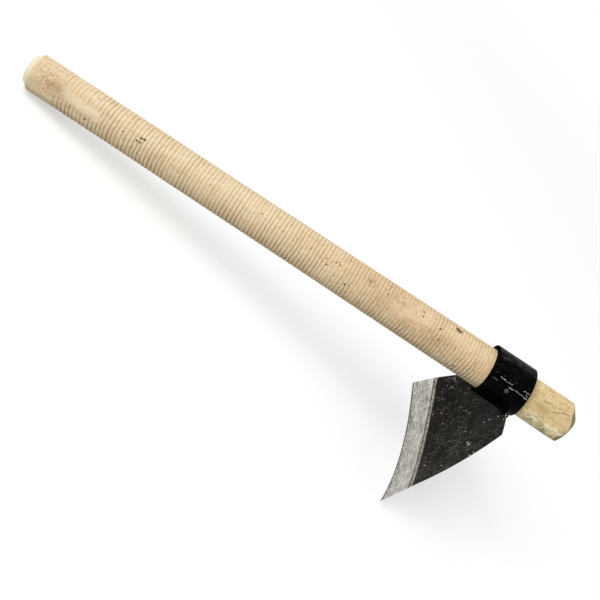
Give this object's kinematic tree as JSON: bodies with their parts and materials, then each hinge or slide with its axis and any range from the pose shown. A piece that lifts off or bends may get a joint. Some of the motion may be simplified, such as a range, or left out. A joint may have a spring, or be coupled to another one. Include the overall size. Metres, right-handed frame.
{
  "type": "garden hoe",
  "caption": "Short-handled hoe: a dished, bevelled steel blade welded under a round pipe eye, jammed on a turned wooden handle whose hewn end stands out past the eye.",
  "frame": {"origin": "on the handle's axis, in the middle of the plain grip at the butt", "axes": "+X along the handle towards the head, +Z away from the blade, +Y across the blade"},
  "size_m": [0.5032, 0.164, 0.133],
  "materials": {
    "turned_wood": "bare pale hardwood with fine turned grooves, dry and matt",
    "black_paint": "glossy black paint, scuffed",
    "nail_steel": "painted nail head worn to grey",
    "dark_scale": "brown-black forge scale and paint, speckled",
    "ground_steel": "ground bright, lightly stained",
    "painted_weld": "rough weld metal under black paint"
  },
  "bodies": {
    "root": {"handle": "turned_wood", "eye_ring": "black_paint", "retaining_nail": "nail_steel", "blade_body": "dark_scale", "edge_steel": "ground_steel", "weld_bead_inner": "painted_weld", "weld_bead_outer": "painted_weld"}
  },
  "joints": []
}
